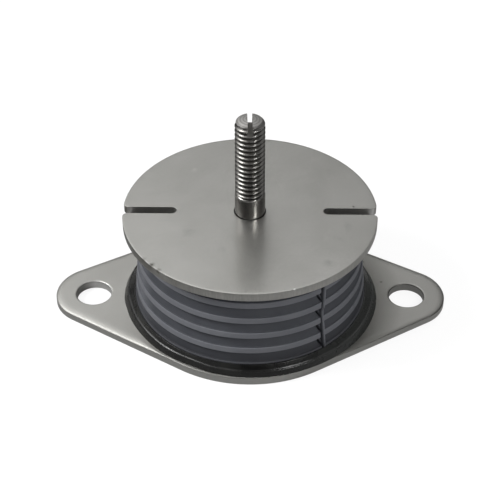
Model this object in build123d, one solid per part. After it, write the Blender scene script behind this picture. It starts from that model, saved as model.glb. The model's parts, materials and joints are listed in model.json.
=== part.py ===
"""Rubber anti-vibration mount: a steel base flange with two holes, a black rubber core moulded
as a spool, a grey ribbed rubber sleeve wrapped round it, and a steel disc held by a slotted stud.

Millimetres. The origin is the centre of the flange's underside, +Z runs up the stud and +X
through the two flange holes. The front of the mount faces -Y.
"""
from build123d import *
import os
from math import acos, cos, degrees, sin

# Whole mount
body_height = 32.7
stud_standout = 30.2

# Base flange: one plate, a large circle joined to two small ones by tangents
flange_thickness = 2.5
flange_middle_radius = 34.4
flange_end_radius = 11.0
flange_hole_spacing = 90.0
flange_hole_diameter = 10.0
flange_opening_diameter = 30.0
flange_top_rounding = 0.7
flange_edge_break = 0.2

# Top disc, with a slot open to the rim at each side
disc_diameter = 70.0
disc_thickness = 2.5
disc_bore_clearance = 0.22
disc_slot_width = 2.8
disc_slot_web = 40.3
disc_slot_mouth_rounding = 1.3
disc_edge_break = 0.25

# Stud: a hexagon head gripped by the rubber, a plain shank and a threaded end
stud_thread_diameter = 7.94
stud_shank_diameter = 8.35
stud_shank_standout = 6.05
stud_tip_diameter = 6.2
stud_tip_bevel = 1.0
stud_slot_width = 1.3
stud_slot_depth = 3.4
stud_head_across_flats = 12.7
stud_head_height = 5.2
stud_head_bevel = 0.5

# Rubber core: a spool with a thin collar under the disc and a lip on the flange
collar_radius = 33.3
collar_thickness = 1.8
collar_bevel = 0.4
pad_thickness = 1.2
plug_recess = 0.5
lip_foot_x = 36.0
lip_foot_y = 34.0
lip_edge_x = 34.9
lip_edge_y = 33.95
lip_edge_height = 2.0
lip_ridge_width = 0.45
lip_ridge_height = 2.1
lip_top_height = 3.45
lip_top_width = 0.35

# Ribbed sleeve: a strip bent round the core and butted at one seam
sleeve_top_radius = 30.55
sleeve_bottom_radius = 32.94
sleeve_wall = 2.0
rib_pitch = 4.85
rib_face = 1.7
rib_depth = 1.5
rib_shelf = 0.5
rib_drop = 4.36
rib_foot = 0.6
seam_angle = -50.4
seam_gap = 0.35
seam_bead_width = 0.55
seam_bead_height = 0.2
seam_end_width = 0.5
seam_end_ramp = 1.0

# Clearances between the rubber pieces and what they hold
fit_gap = 0.1

# Levels and radii that follow from the sizes above
disc_bottom = body_height - disc_thickness
collar_bottom = disc_bottom - collar_thickness
pad_top = flange_thickness + pad_thickness
sleeve_height = collar_bottom - pad_top
shank_top = body_height + stud_shank_standout
stud_tip = body_height + stud_standout
head_bottom = disc_bottom - stud_head_height
top_rib_bottom = collar_bottom - rib_drop
bore_radius = stud_shank_diameter / 2 + disc_bore_clearance
sleeve_bore_radius = sleeve_top_radius - rib_depth - sleeve_wall
core_radius = sleeve_bore_radius - fit_gap


def solid(shape):
    """The one solid that a boolean result holds."""
    found = shape.solids()
    if len(found) != 1:
        raise ValueError(f"expected one solid, found {len(found)}")
    return found[0]


def revolved(points):
    """A solid turned about Z from a closed outline of radius and level pairs."""
    outline = Polyline(*points, close=True)
    return revolve(Plane.XZ * make_face(outline), Axis.Z)


def sleeve_radius(level):
    """Radius over the ribs, on a cone that widens towards the base."""
    share = (collar_bottom - level) / sleeve_height
    return sleeve_top_radius + share * (sleeve_bottom_radius - sleeve_top_radius)


def cone(inset, low, high):
    """A solid cone between two levels, its side this far inside the ribs' crests."""
    return revolved([
        (0, low),
        (sleeve_radius(low) - inset, low),
        (sleeve_radius(high) - inset, high),
        (0, high),
    ])


def flange_outline():
    """A large circle and two end circles, joined by the four lines that touch both."""
    reach = flange_hole_spacing / 2
    lean = acos((flange_middle_radius - flange_end_radius) / reach)
    turn = degrees(lean)

    def touch(centre, radius, side, end):
        return (centre + end * radius * cos(lean), side * radius * sin(lean))

    lines = [
        Line(touch(0, flange_middle_radius, side, end), touch(end * reach, flange_end_radius, side, end))
        for side in (1, -1)
        for end in (1, -1)
    ]
    arcs = [
        CenterArc((0, 0), flange_middle_radius, turn, 180 - 2 * turn),
        CenterArc((0, 0), flange_middle_radius, 180 + turn, 180 - 2 * turn),
        CenterArc((reach, 0), flange_end_radius, -turn, 2 * turn),
        CenterArc((-reach, 0), flange_end_radius, 180 - turn, 2 * turn),
    ]
    return make_face(Curve() + lines + arcs)


def base_flange():
    """The two-hole plate with a middle opening, its upper edges rolled over by the press."""
    plate = extrude(flange_outline(), flange_thickness)
    plate = fillet(plate.edges().group_by(Axis.Z)[-1], flange_top_rounding)
    plate = chamfer(plate.edges().group_by(Axis.Z)[0], flange_edge_break)
    hole = Cylinder(flange_hole_diameter / 2, 3 * flange_thickness)
    plate -= [Pos(end * flange_hole_spacing / 2, 0, 0) * hole for end in (1, -1)]
    plate -= Cylinder(flange_opening_diameter / 2, 3 * flange_thickness)
    upper_rims = plate.faces().sort_by(Axis.Z)[-1].edges().filter_by(GeomType.CIRCLE)
    hole_rims = [rim for rim in upper_rims if abs(rim.radius - flange_hole_diameter / 2) < 1e-6]
    return solid(chamfer(hole_rims, flange_edge_break))


def disc_slot():
    """One slot with a round inner end, cut out past the rim."""
    centre = disc_slot_web / 2 + disc_slot_width / 2
    length = disc_diameter - centre
    straight = Pos(centre + length / 2, 0) * Rectangle(length, disc_slot_width)
    return straight + Pos(centre, 0) * Circle(disc_slot_width / 2)


def top_disc():
    """The round plate with the stud's hole and two slots open to the rim."""
    slot = disc_slot()
    plate = Circle(disc_diameter / 2) - Circle(bore_radius) - slot - Rot(0, 0, 180) * slot
    mouth = plate.vertices().sort_by_distance((0, 0, 0))[-4:]
    plate = fillet(mouth, disc_slot_mouth_rounding)
    disc = Pos(0, 0, disc_bottom) * extrude(plate, disc_thickness)
    faces = disc.faces().filter_by(Plane.XY)
    return solid(chamfer(faces.edges(), disc_edge_break))


def stud():
    """A turned stud: hexagon head, shank, threaded end and a screwdriver slot along Y."""
    shank = stud_shank_diameter / 2
    thread = stud_thread_diameter / 2
    tip = stud_tip_diameter / 2
    shaft = revolved([
        (0, disc_bottom),
        (shank, disc_bottom),
        (shank, shank_top - (shank - thread)),
        (thread, shank_top),
        (thread, stud_tip - stud_tip_bevel),
        (tip, stud_tip),
        (0, stud_tip),
    ])
    head = extrude(RegularPolygon(stud_head_across_flats / 2, 6, major_radius=False), stud_head_height)
    head = chamfer(head.edges().group_by(Axis.Z)[0], stud_head_bevel)
    slot = Pos(0, 0, stud_tip) * Box(stud_slot_width, 2 * stud_thread_diameter, 2 * stud_slot_depth)
    return solid(shaft + Pos(0, 0, head_bottom) * head - slot)


def lip():
    """The oval lip on the flange: a leaning wall, a narrow ridge, then a slope up to the sleeve."""
    edge_level = flange_thickness + lip_edge_height
    ridge_level = flange_thickness + lip_ridge_height
    top_level = flange_thickness + lip_top_height
    foot = Pos(0, 0, flange_thickness) * Ellipse(lip_foot_x, lip_foot_y)
    edge = Pos(0, 0, edge_level) * Ellipse(lip_edge_x, lip_edge_y)
    inner = Ellipse(lip_edge_x - lip_ridge_width, lip_edge_y - lip_ridge_width)
    inner = Pos(0, 0, ridge_level) * inner
    top = Pos(0, 0, top_level) * Circle(sleeve_radius(top_level) + fit_gap + lip_top_width)
    wall = loft([foot, edge], ruled=True)
    ridge = loft([edge, inner], ruled=True)
    slope = loft([inner, top], ruled=True)
    return wall + ridge + slope


def rubber_core():
    """The moulded spool: collar, round body, pad with its lip, and the plug in the flange."""
    core = Pos(0, 0, (pad_top + collar_bottom) / 2) * Cylinder(core_radius, sleeve_height)
    collar = Cylinder(collar_radius, collar_thickness)
    collar = chamfer(collar.edges().filter_by(GeomType.CIRCLE), collar_bevel)
    core += Pos(0, 0, collar_bottom + collar_thickness / 2) * collar
    notch_start = seam_gap / 2 - fit_gap
    notch_finish = seam_gap / 2 + seam_bead_width + fit_gap
    seat = cone(-fit_gap, pad_top, collar_bottom)
    seat += along_seam(seam_bead_height + fit_gap, notch_start, notch_finish)
    core += lip() - seat
    plug_height = flange_thickness - plug_recess
    plug = Cylinder(flange_opening_diameter / 2 - fit_gap, plug_height)
    core += Pos(0, 0, plug_recess + plug_height / 2) * plug
    pocket_depth = stud_head_height + fit_gap
    pocket = RegularPolygon(stud_head_across_flats / 2 + fit_gap, 6, major_radius=False)
    core -= Pos(0, 0, disc_bottom - pocket_depth) * extrude(pocket, pocket_depth)
    return solid(core)


def rib_levels():
    """Undersides of the ribs, lowest first: as many as fit between the top one and the foot."""
    count = 1 + int((top_rib_bottom - pad_top - rib_foot) / rib_pitch)
    return [top_rib_bottom - rib_pitch * step for step in reversed(range(count))]


def rib_outline():
    """Bottom to top along the outside: each rib overhangs the groove that slopes out below it."""
    points = []
    slope = (rib_depth - rib_shelf) / (rib_pitch - rib_face)
    for bottom in rib_levels():
        top = bottom + rib_face
        points.append((sleeve_radius(bottom) - rib_depth, bottom))
        points.append((sleeve_radius(bottom), bottom))
        points.append((sleeve_radius(top), top))
        points.append((sleeve_radius(top) - rib_shelf, top))
    last_top = top_rib_bottom + rib_face
    end_inset = rib_shelf + slope * (collar_bottom - last_top)
    points.append((sleeve_radius(collar_bottom) - end_inset, collar_bottom))
    return points


def along_seam(height, start, finish, inner=sleeve_bore_radius + sleeve_wall / 2):
    """A radial slice from inside the wall to this far over the ribs, between two distances past
    the seam."""
    outer = 2 * max(sleeve_bottom_radius, sleeve_top_radius)
    band = Pos((inner + outer) / 2, (start + finish) / 2) * Rectangle(outer - inner, finish - start)
    block = Pos(0, 0, pad_top) * extrude(Rot(0, 0, seam_angle) * band, sleeve_height)
    return cone(-height, pad_top, collar_bottom) & block


def groove_end_wall():
    """The solid end of the strip, with a ramp where each groove runs into it."""
    start = -seam_gap / 2 - seam_end_width
    inner = sleeve_bore_radius + sleeve_wall / 2
    outer = 2 * max(sleeve_bottom_radius, sleeve_top_radius)
    plan = Polyline(
        (inner, 0),
        (outer, 0),
        (outer, start),
        (max(sleeve_bottom_radius, sleeve_top_radius), start),
        (sleeve_top_radius - rib_depth, start - seam_end_ramp),
        (inner, start - seam_end_ramp),
        close=True,
    )
    block = Pos(0, 0, pad_top) * extrude(Rot(0, 0, seam_angle) * make_face(plan), sleeve_height)
    return cone(0, pad_top, collar_bottom) & block


def ribbed_sleeve():
    """The ribbed strip, closed round the core, with its butt seam and the bead beside it."""
    inner_bottom = (sleeve_bore_radius, pad_top)
    inner_top = (sleeve_bore_radius, collar_bottom)
    outer_bottom = (sleeve_radius(pad_top) - rib_depth, pad_top)
    sleeve = revolved([inner_bottom, outer_bottom, *rib_outline(), inner_top])
    sleeve += groove_end_wall()
    sleeve += along_seam(seam_bead_height, 0, seam_gap / 2 + seam_bead_width)
    sleeve -= along_seam(2 * seam_bead_height, -seam_gap / 2, seam_gap / 2, inner=0)
    return solid(sleeve)


def main():
    os.makedirs("parts", exist_ok=True)
    pieces = {
        "base_flange": base_flange(),
        "rubber_core": rubber_core(),
        "ribbed_sleeve": ribbed_sleeve(),
        "top_disc": top_disc(),
        "stud": stud(),
    }
    for name, piece in pieces.items():
        export_step(piece, f"parts/{name}.step")
        print(f"{name}: {piece.volume:.0f} mm3")


main()
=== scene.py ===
# %% [markdown]
# # A rubber anti-vibration mount
#
# Five pieces make this mount: a steel flange that is bolted down, a black rubber core moulded on
# it, a grey ribbed sleeve bent round the core, a steel disc on top and a threaded stud. The packed
# model gives their places, so it is loaded first and never moved.
# %% Load the fixed frame
import json
import math

import bmesh
import bpy
from mathutils import Matrix, Vector, noise


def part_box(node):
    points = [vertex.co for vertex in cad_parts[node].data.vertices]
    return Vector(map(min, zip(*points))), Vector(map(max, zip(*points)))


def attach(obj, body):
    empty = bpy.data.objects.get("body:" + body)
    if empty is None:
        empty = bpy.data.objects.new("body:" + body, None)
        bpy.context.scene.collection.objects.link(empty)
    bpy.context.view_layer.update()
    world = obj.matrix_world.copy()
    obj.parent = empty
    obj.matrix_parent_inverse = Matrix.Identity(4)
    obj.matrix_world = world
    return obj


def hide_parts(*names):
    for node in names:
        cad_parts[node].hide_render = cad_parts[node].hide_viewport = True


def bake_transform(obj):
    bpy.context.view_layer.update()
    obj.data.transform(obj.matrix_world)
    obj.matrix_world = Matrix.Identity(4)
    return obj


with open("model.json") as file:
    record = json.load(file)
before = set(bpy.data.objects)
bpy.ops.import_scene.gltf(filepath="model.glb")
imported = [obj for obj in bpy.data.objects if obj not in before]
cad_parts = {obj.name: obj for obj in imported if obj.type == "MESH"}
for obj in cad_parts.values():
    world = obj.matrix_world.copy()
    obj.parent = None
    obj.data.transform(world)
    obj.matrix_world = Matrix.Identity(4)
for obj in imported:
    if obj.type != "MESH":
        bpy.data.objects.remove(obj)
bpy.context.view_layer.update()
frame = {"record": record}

MM = 0.001

# %% [markdown]
# ## Sizes
#
# Levels and radii come from the packed nodes' boxes and from the record's mounts. What those
# can't tell, such as a groove's depth, is named in millimetres where it is used.
# %% Read the sizes, in millimetres
def node_box(node):
    """Lowest and highest corner of a packed node, in millimetres."""
    low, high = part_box(node)
    return Vector(low) / MM, Vector(high) / MM


def levels(node):
    """Lowest and highest level of a packed node, in millimetres."""
    return [corner.z for corner in node_box(node)]


mounts = {mount["name"]: mount for mount in frame["record"]["mounts"]}
bolt_holes = mounts["flange_holes"]["dims"]
thread = mounts["stud_thread"]["dims"]
FLANGE_TOP = levels("base_flange")[1]
FLANGE_REACH = bolt_holes["spacing_x_mm"] / 2
BOLT_RADIUS = bolt_holes["hole_r_mm"]
DISC_BOTTOM, DISC_TOP = levels("top_disc")
DISC_RADIUS = node_box("top_disc")[1].y
SLEEVE_BOTTOM, SLEEVE_TOP = levels("ribbed_sleeve")
STUD_BOTTOM, STUD_TIP = levels("stud")
PLUG_BOTTOM = levels("rubber_core")[0]
THREAD_RADIUS = thread["r_mm"]
THREAD_START = mounts["stud_thread"]["pos_m"][2] / MM - thread["length_mm"] / 2
print("disc from", round(DISC_BOTTOM, 2), "to", round(DISC_TOP, 2), "tip at", round(STUD_TIP, 2))

# %% [markdown]
# ## Camera
#
# The photograph was taken with a long lens from about 39 degrees above the ground. The place
# and the lens below were fitted to the outlines of the disc, the flange and its holes, so the
# camera needs no shift. It looks at a point of the stud's axis, level with the ribs.
# %% Put the camera where the photographer stood
def put(name, data):
    """Puts a camera, a lamp or a mesh in the scene as an object."""
    item = bpy.data.objects.new(name, data)
    bpy.context.scene.collection.objects.link(item)
    return item


VIEW_DISTANCE = 375.7
VIEW_ELEVATION = math.radians(39.035)
VIEW_TURN = math.radians(0.72)
LOOK_HEIGHT = 18.8
LENS = 96.27

camera_data = bpy.data.cameras.new("photo_camera")
camera_data.lens = LENS
camera_data.sensor_width = 36.0
camera_data.sensor_fit = "HORIZONTAL"
camera = put("photo_camera", camera_data)
toward_camera = Vector((
    math.sin(VIEW_TURN) * math.cos(VIEW_ELEVATION),
    -math.cos(VIEW_TURN) * math.cos(VIEW_ELEVATION),
    math.sin(VIEW_ELEVATION),
))
camera.location = (Vector((0, 0, LOOK_HEIGHT)) + toward_camera * VIEW_DISTANCE) * MM
camera.rotation_euler = toward_camera.to_track_quat("Z", "Y").to_euler()
bpy.context.scene.camera = camera
print("camera at", [round(v / MM, 1) for v in camera.location], "mm")

# %% [markdown]
# ## Mesh helpers
#
# The rubber pieces and the stud are swept: a row of points is repeated at many angles round the
# axis, and neighbouring rows are joined by quads. A row may change with the angle, which is how
# the oval lip, the seam and the thread come out of one helper. Corners are rounded in the row
# itself, because a rounded edge is what catches the light.
# %% Shape a row of points
def ease(value, low, high):
    """0 below low, 1 above high and a smooth rise between."""
    share = min(1.0, max(0.0, (value - low) / (high - low)))
    return share * share * (3 - 2 * share)


def along(pairs, value_at):
    """The second value where the first is value_at, read between pairs that rise."""
    if value_at <= pairs[0][0]:
        return pairs[0][1]
    for (low, first), (high, second) in zip(pairs, pairs[1:]):
        if value_at <= high:
            return first + (second - first) * ease(value_at, low, high)
    return pairs[-1][1]


def rounded(corners, steps=4):
    """An open row through (radius, level) corners, curved where a third value gives a size."""
    row = [corners[0]]
    for before, here, after in zip(corners, corners[1:], corners[2:]):
        corner = Vector(here[:2])
        size = here[2] if len(here) > 2 else 0.0
        ends = []
        for neighbour in (before, after):
            side = Vector(neighbour[:2]) - corner
            ends.append(corner + side.normalized() * min(size, side.length * SIDE_SHARE))
        for step in range(steps + 1):
            share = step / steps
            middle = corner * 2 * share * (1 - share)
            row.append(tuple(ends[0] * (1 - share) ** 2 + middle + ends[1] * share ** 2))
    row.append(corners[-1])
    return row


SIDE_SHARE = 0.45
print("a square corner, rounded:", len(rounded([(0, 0), (1, 0, 0.2), (1, 1)])), "points")

# %% Sweep rows round the axis and put a mesh in the scene
def even_turn(steps):
    return [2 * math.pi * step / steps for step in range(steps)]


def sweep(name, angles, row_at, loop):
    """A closed mesh from row_at(angle), a list of (radius, level) pairs in millimetres."""
    mesh_points = []
    for angle in angles:
        for radius, level in row_at(angle):
            x = radius * math.cos(angle) * MM
            y = radius * math.sin(angle) * MM
            mesh_points.append((x, y, level * MM))
    count = len(mesh_points) // len(angles)
    faces = []
    for turn in range(len(angles)):
        near = turn * count
        far = (turn + 1) % len(angles) * count
        for step in range(count if loop else count - 1):
            following = (step + 1) % count
            faces.append((near + step, far + step, far + following, near + following))
    mesh = bpy.data.meshes.new(name)
    mesh.from_pydata(mesh_points, [], faces)
    shape = bmesh.new()
    shape.from_mesh(mesh)
    bmesh.ops.remove_doubles(shape, verts=shape.verts, dist=SAME_POINT)
    bmesh.ops.dissolve_degenerate(shape, edges=shape.edges, dist=SAME_POINT)
    bmesh.ops.recalc_face_normals(shape, faces=shape.faces)
    shape.to_mesh(mesh)
    shape.free()
    return mesh


def smooth_shade(mesh, sharp_angle):
    """Smooth shading, with a sharp edge wherever two faces meet more steeply than this."""
    mesh.polygons.foreach_set("use_smooth", [True] * len(mesh.polygons))
    mesh.set_sharp_from_angle(angle=math.radians(sharp_angle))
    mesh.update()


def place(name, mesh, material):
    """Puts a mesh in the scene with its finish."""
    piece = put(name, mesh)
    mesh.materials.append(material)
    print(name, len(mesh.vertices), "points", len(mesh.polygons), "faces")
    return piece


SAME_POINT = 0.0005 * MM
print("points closer than", SAME_POINT / MM, "mm are merged")

# %% [markdown]
# ## Wiring nodes
#
# The finishes, the floor and the room are trees of nodes. A small class holds a tree and does the
# few things that they need: sums, ramps between two values and mixes.
# %% Wire nodes with few words
class Wires:
    """A node tree, with short ways to add and join nodes."""

    def __init__(self, tree):
        self.tree = tree

    def feed(self, socket, value):
        """Joins an output to the socket, or sets the socket to a plain value."""
        if isinstance(value, bpy.types.NodeSocket):
            self.tree.links.new(value, socket)
        else:
            socket.default_value = value

    def node(self, kind, inputs=(), **settings):
        """A new node. Inputs are pairs: a label or a number, and what is fed there."""
        made = self.tree.nodes.new(kind)
        for setting, value in settings.items():
            setattr(made, setting, value)
        for label, value in inputs:
            self.feed(made.inputs[label], value)
        return made

    def math(self, operation, *values):
        return self.node("ShaderNodeMath", enumerate(values), operation=operation).outputs[0]

    def times(self, first, second):
        return self.math("MULTIPLY", first, second)

    def larger(self, first, second):
        return self.math("MAXIMUM", first, second)

    def vector(self, operation, *values):
        made = self.node("ShaderNodeVectorMath", enumerate(values), operation=operation)
        return made.outputs["Vector" if operation == "MULTIPLY" else "Value"]

    def parts(self, vector):
        """The X, Y and Z of a vector."""
        return self.node("ShaderNodeSeparateXYZ", [(0, vector)]).outputs

    def ramp(self, value, low, high, first=0.0, last=1.0, smooth=False):
        """first where the value is low and last where it is high, and between them a slope."""
        labels = ("Value", "From Min", "From Max", "To Min", "To Max")
        inputs = zip(labels, (value, low, high, first, last))
        slope = "SMOOTHSTEP" if smooth else "LINEAR"
        return self.node("ShaderNodeMapRange", inputs, interpolation_type=slope).outputs["Result"]

    def shader(self, *share_and_shaders):
        return self.node("ShaderNodeMixShader", enumerate(share_and_shaders)).outputs[0]

    def ray_kinds(self):
        """Two outputs: 1 for the camera's rays, and 1 for mirrored or transmitted rays."""
        rays = self.node("ShaderNodeLightPath").outputs
        mirrored = self.larger(rays["Is Glossy Ray"], rays["Is Transmission Ray"])
        return rays["Is Camera Ray"], mirrored


print("short ways:", [way for way in vars(Wires) if not way.startswith("_")])

# %% [markdown]
# ## Shared effects for the finishes
#
# Steel and rubber both show two things that a flat colour lacks: cloudy changes of tone a few
# millimetres wide and fine marks, left by the press, the lathe or the mould. Each is a node
# group of noise, built once, and every finish sets its size. Marks get longer one way than the
# other where the place is stretched before it goes in.
# %% Build the two node groups
def noise_group(name, size_name, size, output_name, detail, roughness, contrast=(0.0, 1.0)):
    """A group that turns a place into noise between 0 and 1, sized in millimetres."""
    tree = bpy.data.node_groups.new(name, "ShaderNodeTree")
    tree.interface.new_socket("Vector", in_out="INPUT", socket_type="NodeSocketVector")
    number = tree.interface.new_socket(size_name, in_out="INPUT", socket_type="NodeSocketFloat")
    number.default_value = size * MM
    tree.interface.new_socket(output_name, in_out="OUTPUT", socket_type="NodeSocketFloat")
    wires = Wires(tree)
    start = wires.node("NodeGroupInput").outputs
    per_metre = wires.math("DIVIDE", 1.0, start[size_name])
    settings = {"Vector": start["Vector"], "Scale": per_metre,
                "Detail": detail, "Roughness": roughness}
    pattern = wires.node("ShaderNodeTexNoise", settings.items()).outputs["Fac"]
    wires.node("NodeGroupOutput", [(output_name, wires.ramp(pattern, *contrast))])
    return tree


CLOUDS = noise_group("Cloudy Tone", "Patch Size", 10, "Tone", 3.0, 0.55, contrast=(0.3, 0.7))
MARKS = noise_group("Fine Marks", "Mark Size", 0.4, "Marks", 5.0, 0.7)
print("node groups:", CLOUDS.name, "and", MARKS.name)

# %% Start and close a finish
class Finish(Wires):
    """A material under construction. Its sizes are given in millimetres."""

    def __init__(self, name):
        self.material = bpy.data.materials.new(name)
        self.material.use_nodes = True
        super().__init__(self.material.node_tree)
        self.surface = self.tree.nodes["Principled BSDF"].inputs
        self.place = self.node("ShaderNodeTexCoord").outputs["Object"]
        self.x, self.y, self.z = self.parts(self.place)

    def stretched(self, x, y, z):
        return self.vector("MULTIPLY", self.place, (x, y, z))

    def distance(self, point, centre):
        return self.vector("DISTANCE", point, tuple(value * MM for value in centre))

    def from_axis(self, x=0.0):
        """Distance from the stud's axis, or from a line beside it that stands at x."""
        return self.distance(self.stretched(1.0, 1.0, 0.0), (x, 0, 0))

    def over(self, length, low, high, first=0.0, last=1.0, smooth=False):
        return self.ramp(length, low * MM, high * MM, first, last, smooth)

    def effect(self, group, size, point=None):
        inputs = enumerate((point or self.place, size * MM))
        return self.node("ShaderNodeGroup", inputs, node_tree=group).outputs[0]

    def mix(self, share, first, second):
        made = self.node("ShaderNodeMix", [(0, share)], data_type="RGBA")
        colours = [socket for socket in made.inputs if socket.type == "RGBA"]
        for socket, colour in zip(colours, (first, second)):
            self.feed(socket, (*colour, 1.0) if isinstance(colour, tuple) else colour)
        return next(socket for socket in made.outputs if socket.type == "RGBA")

    def bump(self, height, strength, depth):
        settings = {"Height": height, "Strength": strength, "Distance": depth * MM}
        made = self.node("ShaderNodeBump", settings.items())
        self.feed(self.surface["Normal"], made.outputs["Normal"])

    def close(self, colour, roughness, metallic=0.0, gloss=0.5):
        looks = {"Base Color": colour, "Roughness": roughness, "Metallic": metallic,
                 "Specular IOR Level": gloss}
        for label, value in looks.items():
            self.feed(self.surface[label], value)
        print("finish:", self.material.name, "with", len(self.tree.nodes), "nodes")
        return self.material


# %% [markdown]
# ## Steel
#
# The flange and the disc are satin plate, smooth enough for the disc to mirror the stud as a soft
# dark band. Cut edges are rougher, with upright marks from the press. The walls of the holes and
# slots carry painted light, and the bolt holes' walls carry painted shade at the far left and
# towards the right. Use has left its marks: a brown stain on the disc's rim at the left, mixed
# with painted shade there, smudges, specks and one bright nick. Beside the rubber at the right the
# flange carries a painted shadow. Sides and rolled edges are found by how upright the surface
# stands, marks by their place, and each is painted over the colour so far.
# %% Name the steel's tones and where its marks lie
# The next two colours are painted light and painted shade on the walls of holes and slots.
PAINTED_WALL_LIGHT = (0.86, 0.85, 0.83)
PAINTED_WALL_SHADE = (0.37, 0.365, 0.35)
SMUDGE = (0.46, 0.455, 0.435)
RUBBED = (0.64, 0.635, 0.61)
# This dark tone serves real grime specks and painted shade alike.
GRIME_AND_SHADE = (0.16, 0.155, 0.14)
NICK = (0.95, 0.95, 0.93)
SIDE_ROUGHNESS = 0.42
ROLLED_ROUGHNESS = 0.50
LIT_WALLS_X = (-48.5, -45.3)
SHADED_WALLS_X = (0.0, 30.0)
SLOT_WALL_LIGHT_SHARE = 0.6
# Where the disc's rim carries a real stain and painted shade, on its left:
STAIN_AND_SHADE_X = (-29.0, -8.0)
STAIN_AND_SHADE_SHARE = 0.85
RIM_RADII = (33.0, 34.0)
# The painted shadow on the flange beside the rubber, at the right:
SHADOW_X = (2.0, 22.0)
SHADOW_SHARE = 0.7
SHADOW_RADII = (35.0, 44.0)
DISC_MARKS = (
    (-25.3, -23.6, 0.3, 1.2, GRIME_AND_SHADE), (-23.4, -25.6, 0.5, 1.0, GRIME_AND_SHADE),
    (-27.6, -21.2, 0.5, 1.0, GRIME_AND_SHADE), (-0.5, -33.7, 0, 0.4, GRIME_AND_SHADE), (28.5, 2.2, 0, 0.5, GRIME_AND_SHADE),
    (11.8, -32.9, 0, 0.45, NICK), (26.6, -6.5, 0, 1.6, SMUDGE), (23.4, -11.8, 0, 1.3, SMUDGE),
    (20.9, -22.3, 0, 1.8, SMUDGE), (-16.3, -9.7, 0, 2.2, SMUDGE), (-7.2, -17.2, 0, 1.5, SMUDGE),
    (-15.9, 18.9, 0, 1.2, RUBBED),
)
FLANGE_MARKS = ((38.2, 5.8, 0, 0.5, GRIME_AND_SHADE), (33.4, 14.9, 0, 0.4, GRIME_AND_SHADE))
print("marks:", len(DISC_MARKS), "on the disc and", len(FLANGE_MARKS), "on the flange")

# %% Build up a plate's finish
class PlateFinish(Finish):
    """Satin plate with cut sides. Effects are painted over its colour, one after another."""

    def __init__(self, name, pale, dark, side_dark):
        super().__init__(name)
        upright = self.parts(self.node("ShaderNodeNewGeometry").outputs["Normal"])[2]
        self.flatness = self.math("ABSOLUTE", upright)
        self.side = self.ramp(self.flatness, 0.25, 0.75, 1.0, 0.0, smooth=True)
        self.shear = self.effect(MARKS, 0.5, self.stretched(1.0, 1.0, 0.12))
        top_colour = self.mix(self.effect(CLOUDS, 14), dark, pale)
        side_colour = self.mix(self.ramp(self.shear, 0.25, 0.75), side_dark, dark)
        self.colour = self.mix(self.side, top_colour, side_colour)

    def paint(self, share, colour):
        self.colour = self.mix(share, self.colour, colour)

    def paint_bore_light_and_shade(self):
        """Bolt hole walls: painted light between the two ranges of X, painted shade outside."""
        lit = self.over(self.x, *LIT_WALLS_X)
        lit = self.times(lit, self.over(self.x, *SHADED_WALLS_X, 1.0, 0.0))
        wall = self.mix(lit, PAINTED_WALL_SHADE, PAINTED_WALL_LIGHT)
        for end in (-1, 1):
            away = self.from_axis(end * FLANGE_REACH)
            self.paint(self.over(away, BOLT_RADIUS + 0.1, BOLT_RADIUS + 0.3, 1.0, 0.0), wall)

    def paint_slot_light(self, half):
        """Painted light on the walls of slots along X, this far to each side of it."""
        from_middle = self.math("ABSOLUTE", self.y)
        in_slot = self.over(from_middle, half + 0.05, half + 0.25, SLOT_WALL_LIGHT_SHARE, 0.0)
        self.paint(self.times(in_slot, self.side), PAINTED_WALL_LIGHT)

    def stain_and_shade_rim(self):
        # A real stain on the rim's left, darkened further there as painted shade.
        stain_and_shade = self.over(self.x, *STAIN_AND_SHADE_X, STAIN_AND_SHADE_SHARE, 0.0)
        blotches = self.ramp(self.effect(CLOUDS, 5), 0.2, 0.8, 0.5, 1.0)
        at_rim = self.times(self.side, self.over(self.from_axis(), *RIM_RADII))
        self.paint(self.times(self.times(stain_and_shade, blotches), at_rim), GRIME_AND_SHADE)

    def paint_right_shadow(self):
        """Painted shadow beside the rubber's lip and on the rolled edge, at the right."""
        on_right = self.over(self.x, *SHADOW_X, 0.0, SHADOW_SHARE)
        beside_lip = self.over(self.from_axis(), *SHADOW_RADII, 1.0, 0.0)
        up_the_roll = self.ramp(self.flatness, 0.2, 0.5)
        shoulder = self.times(up_the_roll, self.ramp(self.flatness, 0.8, 0.95, 1.0, 0.0))
        shadowed = self.times(on_right, self.larger(beside_lip, shoulder))
        self.paint(self.times(shadowed, self.ramp(self.flatness, 0.1, 0.4)), GRIME_AND_SHADE)

    def mark(self, marks, level):
        """Broken spots, each with its X, Y, depth under the level, radius and tone."""
        broken = self.ramp(self.effect(MARKS, 1.2), 0.35, 0.55)
        for x, y, depth, radius, tone in marks:
            away = self.distance(self.place, (x, y, level - depth))
            spot = self.over(away, 0.3 * radius, radius, 1.0, 0.0)
            self.paint(self.times(spot, broken), tone)

    def satin(self, roughness, spread):
        """Closes the finish: the flat faces' roughness varies by the spread each way."""
        grain = self.effect(MARKS, 0.04)
        top = self.ramp(grain, 0.42, 0.58, roughness - spread, roughness + spread)
        edge = self.ramp(self.flatness, 0.0, 0.35, SIDE_ROUGHNESS, ROLLED_ROUGHNESS)
        height = self.math("ADD", self.times(grain, 0.15), self.times(self.shear, self.side))
        self.bump(height, 0.2, 0.02)
        rough = self.ramp(self.flatness, 0.90, 0.995, edge, top)
        return self.close(self.colour, rough, metallic=1.0)


# %% Make the disc's and the flange's steel
DISC_SLOT_WIDTH = 2.8

disc_finish = PlateFinish("disc steel", pale=(0.574, 0.569, 0.544), dark=(0.51, 0.505, 0.48),
                          side_dark=(0.34, 0.335, 0.32))
disc_finish.paint_slot_light(DISC_SLOT_WIDTH / 2)
disc_finish.stain_and_shade_rim()
disc_finish.mark(DISC_MARKS, DISC_TOP)
disc_steel = disc_finish.satin(roughness=0.38, spread=0.22)

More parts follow.
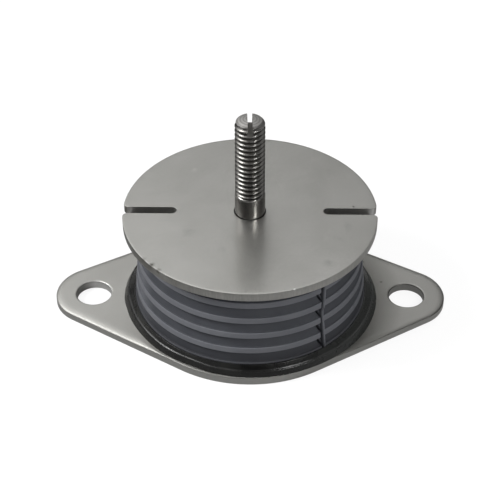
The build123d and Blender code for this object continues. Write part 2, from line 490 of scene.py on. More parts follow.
flange_finish = PlateFinish("flange steel", pale=(0.56, 0.555, 0.53), dark=(0.51, 0.505, 0.48),
                            side_dark=(0.50, 0.495, 0.48))
flange_finish.paint_bore_light_and_shade()
flange_finish.paint_right_shadow()
flange_finish.mark(FLANGE_MARKS, FLANGE_TOP)
flange_steel = flange_finish.satin(roughness=0.52, spread=0.18)

# %% [markdown]
# The stud is turned and its thread rolled, so it is smoother and darker than the plates, and the
# thread's roots are painted darker as shade. The distance from the axis tells root from crest, and
# a sine of it draws the lathe's rings on the tip. The slot is painted paler as light, and the
# shank's left is painted in shade.
# %% Make the stud's finish
THREAD_DEPTH = 0.86
SHADED_ROOT = 0.45
TURNED_RING = 0.8
STUD_SLOT_WIDTH = 1.3
STUD_SLOT_DEPTH = 3.4
LIT_SHANK_X = (-2.0, 0.8)


def stud_finish():
    """Shade painted in the roots and on the shank's left, light in the slot; a pale turned tip."""
    steel = Finish("stud steel")
    radius = steel.from_axis()
    root = THREAD_RADIUS - THREAD_DEPTH + SHADED_ROOT
    crest = steel.over(radius, root, THREAD_RADIUS, smooth=True)
    tip = steel.over(steel.z, STUD_TIP - 1.5, STUD_TIP - 1.0, 0.0, 0.65)
    from_middle = steel.math("ABSOLUTE", steel.x)
    wall = STUD_SLOT_WIDTH / 2
    # The slot is painted paler, as light in it, and made rougher.
    in_slot = steel.over(from_middle, wall + 0.1, wall + 0.2, 0.9, 0.0)
    bottom = STUD_TIP - STUD_SLOT_DEPTH
    in_slot = steel.times(in_slot, steel.over(steel.z, bottom - 0.1, bottom - 0.01))
    rings = steel.math("SINE", steel.times(radius, 2 * math.pi / (TURNED_RING * MM)))
    turned = steel.times(steel.ramp(rings, 0.0, 0.9), tip)
    bright = steel.mix(steel.effect(CLOUDS, 3), (0.38, 0.372, 0.355), (0.44, 0.43, 0.41))
    bright = steel.mix(tip, bright, (0.78, 0.77, 0.75))
    bright = steel.mix(turned, bright, (0.28, 0.275, 0.26))
    clear = steel.larger(steel.larger(crest, tip), in_slot)
    # Painted shade: the roots are darker than the crests.
    shaded_roots = steel.mix(clear, (0.20, 0.195, 0.185), bright)
    plain = steel.over(steel.z, THREAD_START - 0.1, THREAD_START - 0.4)
    # Painted shade: the shank is darker on its left.
    lit_shank = steel.over(steel.x, *LIT_SHANK_X, smooth=True)
    shank = steel.mix(lit_shank, (0.145, 0.14, 0.135), (0.38, 0.37, 0.355))
    scratches = steel.effect(MARKS, 0.3, steel.stretched(0.25, 0.25, 1.0))
    scratched = steel.ramp(scratches, 0.3, 0.7, 0.15, 0.21)
    rough = steel.math("ADD", scratched, steel.ramp(plain, 0.0, 1.0, 0.06, 0.03))
    rough = steel.math("ADD", rough, steel.times(steel.larger(tip, in_slot), 0.6))
    return steel.close(steel.mix(plain, shaded_roots, shank), rough, metallic=1.0)


stud_steel = stud_finish()

# %% [markdown]
# ## Rubber
#
# The sleeve is a dull, dark grey. Its grooves are painted darker than the ribs' faces, as shade
# under the ribs, and the change is sharp at the rib's edge. At the far left the grooves are painted
# paler, as light falling into them, and the seam and the foot carry painted shade. The core is
# black with a soft gloss, shinier on the lip's ridge and paler towards the right.
# %% Make the two rubber finishes
SLEEVE_TOP_RADIUS = 30.55
SLEEVE_BOTTOM_RADIUS = 32.94
RUBBER_GLOSS = 0.35
RIDGE_GLOSS = 1.0
FACE_DEPTHS = (0.35, 0.1)
SEAM_DEPTHS = (1.6, 1.9)
LIT_GROOVES_X = (-30.5, -26.0)
SHADED_FOOT_Z = (5.8, 10.0)
PALER_CORE_X = (8.0, 28.0)


def sleeve_finish():
    """Pale faces; painted shade in grooves, seam and foot; painted light in far-left grooves."""
    rubber = Finish("grey rubber")
    crest = rubber.over(rubber.z, SLEEVE_BOTTOM, SLEEVE_TOP,
                        SLEEVE_BOTTOM_RADIUS * MM, SLEEVE_TOP_RADIUS * MM)
    depth = rubber.math("SUBTRACT", crest, rubber.from_axis())
    on_face = rubber.over(depth, *FACE_DEPTHS, smooth=True)
    # Painted light: at the far left the grooves are paler.
    paler_side = rubber.over(rubber.x, *LIT_GROOVES_X, 0.6, 0.0, smooth=True)
    # Painted shade in the seam's gap and at the foot.
    in_seam = rubber.over(depth, *SEAM_DEPTHS, smooth=True)
    at_foot = rubber.over(rubber.z, *SHADED_FOOT_Z, 0.65, 0.0, smooth=True)
    cloud = rubber.effect(CLOUDS, 6)
    # The grooves' darker colour is painted shade under the ribs.
    groove = rubber.mix(cloud, (0.032, 0.034, 0.040), (0.039, 0.041, 0.047))
    face = rubber.mix(cloud, (0.090, 0.093, 0.104), (0.103, 0.106, 0.117))
    shown = rubber.mix(rubber.larger(on_face, paler_side), groove, face)
    shown = rubber.mix(rubber.larger(in_seam, at_foot), shown, (0.009, 0.009, 0.011))
    grain = rubber.effect(MARKS, 0.3)
    rubber.bump(grain, 0.3, 0.03)
    return rubber.close(shown, rubber.ramp(grain, 0.3, 0.7, 0.5, 0.62), gloss=RUBBER_GLOSS)


def core_finish():
    """Black, paler towards the right, with a glossier ring where the lip's ridge stands."""
    rubber = Finish("black rubber")
    cloud = rubber.effect(CLOUDS, 4)
    black = rubber.mix(cloud, (0.004, 0.004, 0.004), (0.009, 0.009, 0.0085))
    # The black is paler towards the right.
    paler_side = rubber.over(rubber.x, *PALER_CORE_X)
    from_below = rubber.over(rubber.z, FLANGE_TOP + 1.7, FLANGE_TOP + 1.95)
    from_above = rubber.over(rubber.z, FLANGE_TOP + 2.2, FLANGE_TOP + 2.4, 1.0, 0.0)
    ridge = rubber.times(from_below, from_above)
    gloss = rubber.ramp(ridge, 0.0, 1.0, RUBBER_GLOSS, RIDGE_GLOSS)
    rubber.bump(rubber.effect(MARKS, 0.4), 0.06, 0.02)
    shown = rubber.mix(paler_side, black, (0.019, 0.020, 0.019))
    return rubber.close(shown, rubber.ramp(cloud, 0.0, 1.0, 0.20, 0.34), gloss=gloss)


grey_rubber = sleeve_finish()
black_rubber = core_finish()

# %% [markdown]
# ## The two plates
#
# Both plates are punched from sheet, and the punch rolls their upper edges over, which draws the
# thin light lines of the photograph. A plate is an outline and its holes, each followed down by
# rings of points: in along the flat top, over the rolled edge, down the side and in again
# underneath. Between the inner rings the flat faces are filled in. On the flange the rolled edge
# is wide at the ears and narrows where the rubber's lip leaves no room for it. On the disc it is
# a faint fall at the rim, and the slots, cut afterwards, are nearly sharp. The photograph shows
# the flange a little deeper behind its holes than in front, so its outline is shifted.
# %% Handle loops of points
SAME_PLACE = 1e-4


def arc(centre, radius, start, finish, steps):
    """Points along an arc, angles in radians, both ends included."""
    angles = [start + (finish - start) * step / steps for step in range(steps + 1)]
    return [(centre[0] + radius * math.cos(a), centre[1] + radius * math.sin(a)) for a in angles]


def without_doubles(loop):
    """The closed loop without points that repeat the one before."""
    kept = []
    for point in loop:
        if not kept or math.dist(point, kept[-1]) > SAME_PLACE:
            kept.append(point)
    if math.dist(kept[0], kept[-1]) < SAME_PLACE:
        kept.pop()
    return kept


def subdivided(loop, longest):
    """The closed loop with extra points wherever two are further apart than this."""
    kept = []
    for here, after in zip(loop, loop[1:] + loop[:1]):
        pieces = math.ceil(math.dist(here, after) / longest)
        for piece in range(pieces):
            share = piece / pieces
            x = here[0] + (after[0] - here[0]) * share
            y = here[1] + (after[1] - here[1]) * share
            kept.append((x, y))
    return kept


def inward(loop):
    """At each point of a counter-clockwise loop, the unit direction into the loop's inside."""
    points = [Vector(point) for point in loop]
    directions = []
    for before, here, after in zip(points[-1:] + points, points, points[1:] + points[:1]):
        forward = ((here - before).normalized() + (after - here).normalized()).normalized()
        directions.append(Vector((-forward.y, forward.x)))
    return directions


def circle(x, radius, steps):
    """A counter-clockwise circle with its centre on the X axis."""
    return without_doubles(arc((x, 0), radius, 0, 2 * math.pi, steps))


print("a bolt hole's edge:", len(circle(FLANGE_REACH, BOLT_RADIUS, 64)), "points")

# %% Build a plate from its outline
EDGE_STEPS = 14
LOWER_STEPS = 7
ROLL_POWER = 2.4
FLAT_MARGIN = 0.12
LOWER_ROLLED = 0.15
SHARP_DROP = 0.6


def edge_profile(rolled, drop, bottom, top):
    """(inset, level) pairs from the flat top, over the edge, down and in underneath."""
    row = [(rolled + FLAT_MARGIN, top)]
    for step in range(EDGE_STEPS + 1):
        turn = math.pi / 2 * step / EDGE_STEPS
        along_top = math.sin(turn) ** (2 / ROLL_POWER)
        down = math.cos(turn) ** (2 / ROLL_POWER)
        row.append((rolled * (1 - along_top), top - drop * (1 - down)))
    for step in range(LOWER_STEPS + 1):
        turn = math.pi / 2 * step / LOWER_STEPS
        inset = LOWER_ROLLED * (1 - math.cos(turn))
        row.append((inset, bottom + LOWER_ROLLED * (1 - math.sin(turn))))
    row.append((LOWER_ROLLED + FLAT_MARGIN, bottom))
    return row


def plate(name, outline, holes, bottom, top, rolled_at):
    """Loops run counter-clockwise, and rolled_at(x, y) is the rolled edge's width and drop."""
    shape = bmesh.new()
    caps = ([], [])
    for loop, side in [(outline, 1)] + [(hole, -1) for hole in holes]:
        rings = []
        for point, direction in zip(loop, inward(loop)):
            ring = []
            for inset, level in edge_profile(*rolled_at(*point), bottom, top):
                spot = Vector(point) + direction * inset * side
                ring.append(shape.verts.new((spot.x * MM, spot.y * MM, level * MM)))
            rings.append(ring)
        for near, far in zip(rings, rings[1:] + rings[:1]):
            for step in range(len(near) - 1):
                shape.faces.new((near[step], near[step + 1], far[step + 1], far[step]))
            for cap, end in zip(caps, (0, -1)):
                cap.append(shape.edges.get((near[end], far[end])))
    for cap in caps:
        bmesh.ops.triangle_fill(shape, edges=cap, use_beauty=True, use_dissolve=False)
    bmesh.ops.recalc_face_normals(shape, faces=shape.faces)
    mesh = bpy.data.meshes.new(name)
    shape.to_mesh(mesh)
    shape.free()
    smooth_shade(mesh, 60)
    return mesh


print("an edge has", EDGE_STEPS + LOWER_STEPS + 4, "rings of points")

# %% Draw the flange
FLANGE_END_RADIUS = 11.35
EAR_SHIFT = 0.6
MIDDLE_SHIFT = 0.2
MIDDLE_LARGER = 0.35
FLANGE_ROLLED = 2.7
BACK_ROLLED = 2.2
LEAST_ROLLED = 0.35
FLANGE_DROP = 0.8
HOLE_ROLLED = 0.7
LIP_FOOT = (36.0, 34.0)
OPENING_RADIUS = 15.0
FLANGE_MIDDLE_RADIUS = node_box("base_flange")[1].y + MIDDLE_LARGER
LONGEST_SIDE = 1.2
FLANGE_END = node_box("base_flange")[1].x - FLANGE_END_RADIUS


def oval(half_axes, angle):
    """Distance from the centre to an ellipse in this direction."""
    wide, deep = half_axes
    return wide * deep / math.hypot(deep * math.cos(angle), wide * math.sin(angle))


def flange_outline():
    """The middle circle and two end circles, joined by the lines that touch both."""
    offset = Vector((FLANGE_END, EAR_SHIFT - MIDDLE_SHIFT))
    rise = math.atan2(offset.y, offset.x)
    lean = math.acos((FLANGE_MIDDLE_RADIUS - FLANGE_END_RADIUS) / offset.length)
    back = rise + lean
    front = rise - lean
    middle = (0, MIDDLE_SHIFT)
    right = arc((FLANGE_END, EAR_SHIFT), FLANGE_END_RADIUS, front, back, 40)
    points = right + arc(middle, FLANGE_MIDDLE_RADIUS, back, math.pi - back, 90)
    points += [(-x, y) for x, y in reversed(right)]
    points += arc(middle, FLANGE_MIDDLE_RADIUS, math.pi - front, 2 * math.pi + front, 90)
    return subdivided(without_doubles(points), LONGEST_SIDE)


def flange_rolled(x, y):
    """The outer edge is rolled well over, but not under the rubber's lip, the holes' edges less."""
    if math.hypot(x, y) < OPENING_RADIUS + 1:
        return LOWER_ROLLED, LOWER_ROLLED
    if math.dist((abs(x), y), (FLANGE_REACH, 0)) < BOLT_RADIUS + 1:
        return HOLE_ROLLED, HOLE_ROLLED * SHARP_DROP
    free = math.hypot(x, y) - oval(LIP_FOOT, math.atan2(y, x))
    widest = along(((-6, FLANGE_ROLLED), (6, BACK_ROLLED)), y)
    rolled = min(widest, max(LEAST_ROLLED, free))
    return rolled, min(FLANGE_DROP, rolled * SHARP_DROP)


flange_holes = [circle(FLANGE_REACH, BOLT_RADIUS, 64), circle(-FLANGE_REACH, BOLT_RADIUS, 64),
                circle(0, OPENING_RADIUS, 96)]
flange_mesh = plate("punched_flange", flange_outline(), flange_holes,
                    0.0, FLANGE_TOP, flange_rolled)
flange = place("punched_flange", flange_mesh, flange_steel)

# %% Draw the disc with its two slots
DISC_SLOT_WEB = 40.3
SLOT_MOUTH_ROUNDING = 1.4
DISC_ROLLED = 1.0
DISC_DROP = 0.055
SLOT_ROLLED = 0.12
SLOT_DROP = SLOT_ROLLED * SHARP_DROP
BORE_RADIUS = 4.395


def disc_outline():
    """The upper half from the right slot's inner end to the left one's, then the same turned."""
    half = DISC_SLOT_WIDTH / 2
    inner = DISC_SLOT_WEB / 2 + half
    mouth_y = half + SLOT_MOUTH_ROUNDING
    mouth_x = math.sqrt((DISC_RADIUS - SLOT_MOUTH_ROUNDING) ** 2 - mouth_y ** 2)
    touch = math.atan2(mouth_y, mouth_x)
    right = arc((inner, 0), half, math.pi, math.pi / 2, 10)
    right += [(inner + (mouth_x - inner) * step / 8, half) for step in range(1, 8)]
    right += arc((mouth_x, mouth_y), SLOT_MOUTH_ROUNDING, -math.pi / 2, touch, 10)
    rim = arc((0, 0), DISC_RADIUS, touch, math.pi - touch, 120)
    upper = right + rim + [(-x, y) for x, y in reversed(right)]
    return without_doubles(upper + [(-x, -y) for x, y in upper])


def disc_rolled(x, y):
    """Rolled at the rim, nearly sharp in the slots and the bore."""
    at_rim = ease(math.hypot(x, y), DISC_RADIUS - 1.6, DISC_RADIUS - 0.3)
    rolled = SLOT_ROLLED + (DISC_ROLLED - SLOT_ROLLED) * at_rim
    return rolled, SLOT_DROP + (DISC_DROP - SLOT_DROP) * at_rim


disc_mesh = plate("slotted_disc", disc_outline(), [circle(0, BORE_RADIUS, 72)],
                  DISC_BOTTOM, DISC_TOP, disc_rolled)
disc = place("slotted_disc", disc_mesh, disc_steel)

# %% [markdown]
# ## Rubber core
#
# The core is one moulding shaped like a spool. Its collar shows as a dark line under the disc
# and as the floor of the two slots. Its foot is an oval lip: a leaning wall, a rounded edge, and
# a top that rises to the sleeve. Moulded rubber is never a true oval, so the lip spreads a little
# more or less from side to side, and a slow ripple keeps its highlight from being perfect.
# %% Shape the rubber core
COLLAR_RADIUS = 33.3
COLLAR_BEVEL = 0.4
CORE_RADIUS = 26.95
PLUG_RADIUS = 14.9
FIT_GAP = 0.1
POCKET_RADIUS = 7.5
POCKET_GAP = 0.1
LIP_EDGE = (34.9, 33.95)
LIP_EDGE_LEVEL = FLANGE_TOP + 2.0
RIDGE_LEVEL = FLANGE_TOP + 2.1
LIP_TOP_LEVEL = FLANGE_TOP + 3.45
LIP_TOP_WIDTH = 0.35
RIDGE_WIDTH = 0.45
RIPPLE = 0.07
LIP_SPREAD = ((-190, 0.25), (-178, 0.15), (-166, -0.35), (-150, -0.6), (-134, -0.5), (-118, -0.6),
              (-106, 0.0), (-90, 0.35), (-75, 0.45), (-60, 0.25), (-30, 0.25), (2, 0.35), (30, 0.0),
              (150, 0.0), (170, 0.25))


def crest_radius(level):
    """Radius over the sleeve's ribs at a level, in millimetres."""
    share = (SLEEVE_TOP - level) / (SLEEVE_TOP - SLEEVE_BOTTOM)
    return SLEEVE_TOP_RADIUS + share * (SLEEVE_BOTTOM_RADIUS - SLEEVE_TOP_RADIUS)


def core_row(angle):
    """From the pocket round the stud's head out to the collar, down to the lip and the plug."""
    ripple = RIPPLE * noise.noise(Vector((math.cos(angle), math.sin(angle), 0.3)) * 9.0)
    turned = math.degrees(angle) if math.degrees(angle) < 170 else math.degrees(angle) - 360
    spread = along(LIP_SPREAD, turned)
    edge = oval(LIP_EDGE, angle) + ripple + spread
    seat = crest_radius(LIP_TOP_LEVEL) + FIT_GAP
    return rounded([
        (0.0, STUD_BOTTOM - POCKET_GAP),
        (POCKET_RADIUS, STUD_BOTTOM - POCKET_GAP),
        (POCKET_RADIUS, DISC_BOTTOM),
        (COLLAR_RADIUS - COLLAR_BEVEL, DISC_BOTTOM),
        (COLLAR_RADIUS, DISC_BOTTOM - COLLAR_BEVEL, 0.2),
        (COLLAR_RADIUS, SLEEVE_TOP + COLLAR_BEVEL, 0.2),
        (COLLAR_RADIUS - COLLAR_BEVEL, SLEEVE_TOP),
        (CORE_RADIUS, SLEEVE_TOP),
        (CORE_RADIUS, SLEEVE_BOTTOM),
        (crest_radius(SLEEVE_BOTTOM) + FIT_GAP, SLEEVE_BOTTOM),
        (seat, LIP_TOP_LEVEL),
        (seat + LIP_TOP_WIDTH, LIP_TOP_LEVEL, 0.2),
        (edge - RIDGE_WIDTH, RIDGE_LEVEL + ripple, 0.25),
        (edge, LIP_EDGE_LEVEL + ripple, 0.6),
        (oval(LIP_FOOT, angle) + spread, FLANGE_TOP, 0.02),
        (PLUG_RADIUS, FLANGE_TOP),
        (PLUG_RADIUS, PLUG_BOTTOM),
        (0.0, PLUG_BOTTOM),
    ])


CORE_STEPS = 240
core_mesh = sweep("rubber_core_moulding", even_turn(CORE_STEPS), core_row, loop=False)
smooth_shade(core_mesh, 40)
core = place("rubber_core_moulding", core_mesh, black_rubber)

# %% [markdown]
# ## Ribbed sleeve
#
# The sleeve is a ribbed strip bent round the core and butted. Each rib overhangs the groove
# below it, and each groove slopes out to the next rib. Near the seam the row of points changes:
# on the left a slanting crease closes each groove and the ribs' ends are rounded, then comes a
# narrow gap and a thin raised bead that wanders sideways. Right of it the ribs start again, a
# fifth of a millimetre higher.
# %% Shape the ribbed sleeve
RIB_DEPTH = 1.5
RIB_PITCH = 4.85
RIB_FACE = 1.7
RIB_SHELF = 0.5
RIB_DROP = 4.36
RIB_COUNT = 5
SLEEVE_WALL = 2.0
SLEEVE_BORE = SLEEVE_TOP_RADIUS - RIB_DEPTH - SLEEVE_WALL
SEAM_ANGLE = math.radians(-50.4)
ROW_SPACING = 0.32
SLEEVE_STEPS = 220
FINE_START = -3.4
FINE_STEP = 0.06
FINE_STEPS = 80
SEAM_BEAD = 0.6
BEAD_HEIGHT = 0.22
BEAD_FOOT = 0.05
SEAM_STEP = 0.2
STEP_REACH = 25.0
GAP_DEPTH = 2.3
CREASE_REACH = 1.5
CREASE_MARGIN = 1.5
CREASE_DEPTH = 2.1
CREASE_WIDTH = 0.2
RIB_END_ROUNDING = 0.35
ROUNDING_REACH = 0.4
SEAM_GAPS = ((5.5, 0.3), (10.4, 0.5), (15.2, 0.12), (19.6, 0.25), (24.4, 0.7))
SEAM_PATH = ((3.7, -0.62), (8.5, -0.67), (12.1, -0.77), (15.7, -0.94), (18.2, -0.95), (19.0, -0.42),
             (22.2, 0.0), (24.2, 0.25), (28.4, 0.45))


def rib_rows():
    """(inset from the crests, level, height in the groove) up the outside, corners rounded."""
    slope = (RIB_DEPTH - RIB_SHELF) / (RIB_PITCH - RIB_FACE)
    corners = [(RIB_DEPTH, SLEEVE_BOTTOM)]
    for rib in reversed(range(RIB_COUNT)):
        bottom = SLEEVE_TOP - RIB_DROP - rib * RIB_PITCH
        top = bottom + RIB_FACE
        corners += [(RIB_DEPTH, bottom, 0.3), (0.0, bottom, 0.1)]
        corners += [(0.0, top, 0.2), (RIB_SHELF, top, 0.2)]
        if rib:
            middle = (top + bottom + RIB_PITCH) / 2
            corners.append((RIB_SHELF + slope * (middle - top), middle))
    last_top = SLEEVE_TOP - RIB_DROP + RIB_FACE
    corners.append((RIB_SHELF + slope * (SLEEVE_TOP - last_top), SLEEVE_TOP))
    outline = rounded(corners, steps=3)
    rows = []
    for (inset, level), (next_inset, next_level) in zip(outline, outline[1:] + outline[-1:]):
        pieces = max(1, math.ceil((next_level - level) / ROW_SPACING))
        for piece in range(pieces):
            share = piece / pieces
            here = level + share * (next_level - level)
            above = (here - SLEEVE_TOP + RIB_DROP - RIB_FACE) % RIB_PITCH
            height = min(1.0, above / (RIB_PITCH - RIB_FACE))
            rows.append((inset + share * (next_inset - inset), here, height))
    return rows


RIB_ROWS = rib_rows()
print("the sleeve's outside has", len(RIB_ROWS), "levels")

# %% Bend the strip and draw its seam
def sleeve_row(angle):
    """The sleeve's outside and bore at an angle, with the seam's shape where it is near."""
    past = math.remainder(angle - SEAM_ANGLE, 2 * math.pi) * SLEEVE_BOTTOM_RADIUS
    row = []
    for inset, level, height in RIB_ROWS:
        here = past - along(SEAM_PATH, level)
        gap = along(SEAM_GAPS, level)
        depth = inset
        in_groove = ease(inset, 0.2, 0.55)
        if -CREASE_REACH - CREASE_MARGIN < here < -gap:
            crease = here + gap + CREASE_REACH * height
            depth -= RIB_END_ROUNDING * ease(crease, 0.0, ROUNDING_REACH) * in_groove
            cut = math.exp(-(crease / CREASE_WIDTH) ** 2) * in_groove
            depth += (CREASE_DEPTH - depth) * cut
            depth += RIB_END_ROUNDING * ease(here, -gap - ROUNDING_REACH, -gap) * (1 - in_groove)
        elif -gap <= here < 0:
            depth = GAP_DEPTH
        elif 0 <= here < SEAM_BEAD:
            across = here / SEAM_BEAD * 2 - 1
            depth = -BEAD_HEIGHT * math.sqrt(max(0.0, 1 - across * across)) - BEAD_FOOT
        lift = SEAM_STEP * math.exp(-here / STEP_REACH) if here > 0 else 0.0
        lift *= ease(level, SLEEVE_BOTTOM, SLEEVE_BOTTOM + 2) * ease(SLEEVE_TOP - level, 0, 2)
        row.append((crest_radius(level) - depth, level + lift))
    return row + [(SLEEVE_BORE, SLEEVE_TOP), (SLEEVE_BORE, SLEEVE_BOTTOM)]


def sleeve_angles():
    """Fine steps at the seam, even ones elsewhere."""
    fine = [FINE_START + step * FINE_STEP for step in range(FINE_STEPS)]
    near = [past / SLEEVE_BOTTOM_RADIUS + SEAM_ANGLE for past in fine]
    rest = 2 * math.pi - (near[-1] - near[0])
    return near + [near[-1] + rest * step / SLEEVE_STEPS for step in range(1, SLEEVE_STEPS)]


sleeve_mesh = sweep("ribbed_strip", sleeve_angles(), sleeve_row, loop=True)
smooth_shade(sleeve_mesh, 45)
sleeve = place("ribbed_strip", sleeve_mesh, grey_rubber)

# %% [markdown]
# ## Threaded stud
#
# The packed stud is plain, so the thread is made here. A screw surface is a radius that depends
# on angle and level together: after one turn the same outline stands one pitch higher. Sampled on
# a fine grid it gives a real thread, with no texture. It fades out at the shank, and the tip's
# rounding caps it. The screwdriver slot is cut afterwards and, as on the real stud, is not quite
# in line with the flange.
# %% Shape the stud
THREAD_PITCH = 25.4 / 18
SHANK_RADIUS = 4.175
SHANK_BEVEL = 0.3
TIP_RADIUS = 2.7
TIP_ROUNDING = 1.85
TIP_CROWN = 0.35
SLOT_TURN = math.radians(2.3)
CREST_PROUD = 0.1
HEAD_FLATS = 12.7
TIP_SHOULDER = STUD_TIP - TIP_CROWN - TIP_ROUNDING
THREAD_COLUMNS = 96
ROWS_PER_PITCH = 18
CREST_FLAT = 0.14
FLANK = 0.68
SOFTENING = 0.1


def thread_height(angle, level):
    """0 in the root and 1 on the crest of a right-hand thread with softened corners."""
    phase = (level / THREAD_PITCH - angle / (2 * math.pi)) % 1.0
    away = abs(phase - 0.5) * 2
    straight = min(1, max(0, (away - CREST_FLAT) / FLANK))
    return 1 - ease(away, 0.02, 0.98) * SOFTENING - straight * (1 - SOFTENING)


def stud_radius(angle, level):
    """The thread's radius, run out at the shank and capped by the tip's rounding."""
    runout = ease(level, THREAD_START, THREAD_START + 0.5 * THREAD_PITCH)
    cut = THREAD_DEPTH * (1 - thread_height(angle, level)) * runout
    up = min(1.0, max(0.0, (level - TIP_SHOULDER) / TIP_ROUNDING))
    crest = THREAD_RADIUS + CREST_PROUD
    limit = TIP_RADIUS + (crest - TIP_RADIUS) * math.sqrt(1 - up * up)
    return min(crest - cut, limit)


def stud_row(angle):
    """From the axis under the disc, up the shank and the thread, to the tip's middle."""
    row = [(0.0, DISC_BOTTOM), (SHANK_RADIUS, DISC_BOTTOM)]
    row += [(SHANK_RADIUS, DISC_TOP), (SHANK_RADIUS, THREAD_START - SHANK_BEVEL)]
    rise = STUD_TIP - TIP_CROWN - THREAD_START
    count = round(rise / THREAD_PITCH * ROWS_PER_PITCH)
    for step in range(count + 1):
        level = THREAD_START + rise * step / count
        row.append((stud_radius(angle, level), level))
    edge = row[-1][0]
    for share in (0.9, 0.75, 0.5, 0.25, 0.0):
        row.append((edge * share, STUD_TIP - TIP_CROWN * share ** 2))
    return row


stud_mesh = sweep("threaded_stud", even_turn(THREAD_COLUMNS), stud_row, loop=False)
stud = place("threaded_stud", stud_mesh, stud_steel)

# %% Cut the stud's slot and add its head
def add_head(mesh):
    """A hexagon head under the disc, added to the stud's mesh."""
    shape = bmesh.new()
    shape.from_mesh(mesh)
    corner = HEAD_FLATS / 2 / math.cos(math.pi / 6) * MM
    height = (DISC_BOTTOM - STUD_BOTTOM) * MM
    middle = Matrix.Translation((0, 0, STUD_BOTTOM * MM + height / 2))
    bmesh.ops.create_cone(shape, cap_ends=True, segments=6, radius1=corner, radius2=corner,
                          depth=height, matrix=middle @ Matrix.Rotation(math.pi / 6, 4, "Z"))
    shape.to_mesh(mesh)
    shape.free()


def cut_slot(piece):
    """Cuts the screwdriver slot, along Y, with a slot-shaped block that is then removed."""
    shape = bmesh.new()
    size = Vector((STUD_SLOT_WIDTH, THREAD_RADIUS * 3, STUD_SLOT_DEPTH * 2)) * MM
    turned = Matrix.Rotation(SLOT_TURN, 4, "Z")
    raised = Matrix.Translation((0, 0, STUD_TIP * MM))
    bmesh.ops.create_cube(shape, size=1.0, matrix=turned @ raised @ Matrix.Diagonal((*size, 1.0)))
    block_mesh = bpy.data.meshes.new("slot_block")
    shape.to_mesh(block_mesh)
    shape.free()
    block = put("slot_block", block_mesh)
    cutter = piece.modifiers.new("slot", "BOOLEAN")
    cutter.operation = "DIFFERENCE"
    cutter.object = block
    cutter.solver = "EXACT"
    depsgraph = bpy.context.evaluated_depsgraph_get()
    cut = bpy.data.meshes.new_from_object(piece.evaluated_get(depsgraph))
    piece.modifiers.clear()
    piece.data = cut
    bpy.data.objects.remove(block)


cut_slot(stud)
add_head(stud.data)
smooth_shade(stud.data, 50)
print("stud after its slot:", len(stud.data.polygons), "faces")

for piece, node, slot_name, body in (
    (flange, "base_flange", "flange_steel", "base"),
    (disc, "top_disc", "disc_steel", "top"),
    (stud, "stud", "stud_steel", "top"),
):
    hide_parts(node)
    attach(piece, body)
for piece, node, slot_name in (
    (core, "rubber_core", "black_rubber"),
    (sleeve, "ribbed_sleeve", "grey_rubber"),
):
    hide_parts(node)
    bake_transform(piece)

# %% [markdown]
# ## Floor, world and lamps
#
# The photograph's ground is plain white. The floor is pale paper: seen directly it is mostly
# white by its own colour, and it keeps a faint shadow. It lies a hair under the plate, and from
# below it can be seen through. Steel mirrors what stands around it, so the world is a soft grey
# room, brighter on the left and overhead, with a broad pale panel at the upper left. A glint lamp
# before the panel draws the flange's light edge and the left of the thread, and a narrow strip
# the line on the shank. The other lamps aren't mirrored: a main box from the left and weak fills.
# %% Lay the floor
FLOOR_HALF = 1.5
FLOOR_LEVEL = -0.05 * MM
PAPER_SEEN = 0.95
PAPER_UNSEEN = 0.22
OWN_WHITE = 0.85
MIRRORED_LEFT = 0.05
MIRRORED_RIGHT = 0.155


def floor_finish():
    """Mostly white to the camera, dull to other rays, and clear to the camera from below."""
    material = bpy.data.materials.new("pale floor")
    material.use_nodes = True
    wires = Wires(material.node_tree)
    wires.tree.nodes.clear()
    seen, mirrored = wires.ray_kinds()
    paper_tone = wires.ramp(seen, 0.0, 1.0, PAPER_UNSEEN, PAPER_SEEN)
    paper = wires.node("ShaderNodeBsdfDiffuse", [("Color", paper_tone)])
    white = wires.node("ShaderNodeEmission")
    place_x = wires.parts(wires.node("ShaderNodeTexCoord").outputs["Object"])[0]
    paler = wires.ramp(place_x, 0.0, 30 * MM, MIRRORED_LEFT, MIRRORED_RIGHT)
    share = wires.math("MULTIPLY_ADD", seen, OWN_WHITE, wires.times(mirrored, paler))
    top_side = wires.shader(share, paper.outputs[0], white.outputs[0])
    from_below = wires.times(wires.node("ShaderNodeNewGeometry").outputs["Backfacing"], seen)
    clear = wires.node("ShaderNodeBsdfTransparent")
    surface = wires.shader(from_below, top_side, clear.outputs[0])
    wires.node("ShaderNodeOutputMaterial", [("Surface", surface)])
    return material


floor_mesh = bpy.data.meshes.new("floor")
signs = ((-1, -1), (1, -1), (1, 1), (-1, 1))
corners = [(x * FLOOR_HALF, y * FLOOR_HALF, FLOOR_LEVEL) for x, y in signs]
floor_mesh.from_pydata(corners, [], [(0, 1, 2, 3)])
floor = place("floor", floor_mesh, floor_finish())

# %% Light the room
ROOM_LEFT = 0.93
ROOM_RIGHT = 0.25
ROOM_FRONT = 0.06
ROOM_LOW = 0.1
ROOM_HIGH = 2.35
LEFT_PANEL = 1.2
PANEL_DIRECTION = (-0.64, -0.08, 0.765)
SKY_LOW = 0.18
SKY_HIGH = 0.72
SKY_GREY = 0.8


def background(wires, strength, tone=SKY_GREY):
    inputs = (("Color", (tone, tone, tone, 1.0)), ("Strength", strength))
    return wires.node("ShaderNodeBackground", inputs).outputs[0]


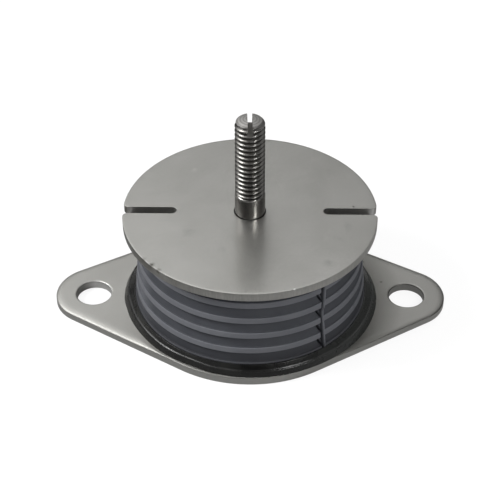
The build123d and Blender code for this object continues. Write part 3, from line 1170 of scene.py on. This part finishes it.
def room_world():
    """Even light for the rubber, a shaped room for the steel to mirror, white for the camera."""
    world = bpy.data.worlds.new("soft room")
    bpy.context.scene.world = world
    world.use_nodes = True
    wires = Wires(world.node_tree)
    wires.tree.nodes.clear()
    direction = wires.node("ShaderNodeTexCoord").outputs["Generated"]
    x, y, z = wires.parts(direction)
    sideways = wires.ramp(x, -0.25, 0.30, ROOM_LEFT, ROOM_RIGHT, smooth=True)
    behind = wires.ramp(y, 0.0, 0.4, ROOM_FRONT, sideways, smooth=True)
    rising = wires.ramp(z, 0.34, 0.9, ROOM_LOW, ROOM_HIGH, smooth=True)
    facing = wires.vector("DOT_PRODUCT", direction, PANEL_DIRECTION)
    panel = wires.ramp(facing, 0.82, 1.0, 0.0, LEFT_PANEL, smooth=True)
    shaped = background(wires, wires.math("MULTIPLY_ADD", behind, rising, panel))
    even = background(wires, wires.ramp(z, 0.0, 1.0, SKY_LOW, SKY_HIGH, smooth=True))
    seen, mirrored = wires.ray_kinds()
    unseen = wires.shader(mirrored, even, shaped)
    white = background(wires, 1.0, tone=1.0)
    wires.node("ShaderNodeOutputWorld", [("Surface", wires.shader(seen, unseen, white))])
    print("the room has", len(wires.tree.nodes), "nodes")


room_world()

# %% Set the lamps
LAMP_TARGET = Vector((0, 0, 0.02))


def soft_lamp(name, location, width, height, power, mirrored=False, lights=True):
    """A soft box that faces the mount. Steel may mirror it, rubber and paper be lit by it."""
    data = bpy.data.lights.new(name, "AREA")
    data.shape = "RECTANGLE"
    data.size = width
    data.size_y = height
    data.energy = power
    lamp = put(name, data)
    lamp.location = location
    aim = Vector(location) - LAMP_TARGET
    lamp.rotation_euler = aim.to_track_quat("Z", "Y").to_euler()
    lamp.visible_glossy = mirrored
    lamp.visible_diffuse = lights


soft_lamp("left_box", (-0.80, -0.08, 0.74), 0.32, 0.32, 11.5)
soft_lamp("left_glint", (-0.70, 0.04, 0.84), 0.32, 0.32, 3.2, mirrored=True, lights=False)
soft_lamp("right_strip", (0.40, -0.48, 0.54), 0.10, 0.35, 1.35, mirrored=True)
soft_lamp("left_low", (-1.0, -0.30, 0.25), 0.3, 0.3, 2.5)
soft_lamp("right_low", (0.95, -0.45, 0.30), 0.3, 0.3, 1.6)
soft_lamp("back_fill", (0.25, 1.0, 0.60), 0.5, 0.5, 4.0)
soft_lamp("front_fill", (0.10, -0.9, 0.72), 0.6, 0.6, 5.2)
print(len(bpy.data.lights), "lamps are set")

# %% View settings
bpy.context.scene.view_settings.view_transform = "Standard"
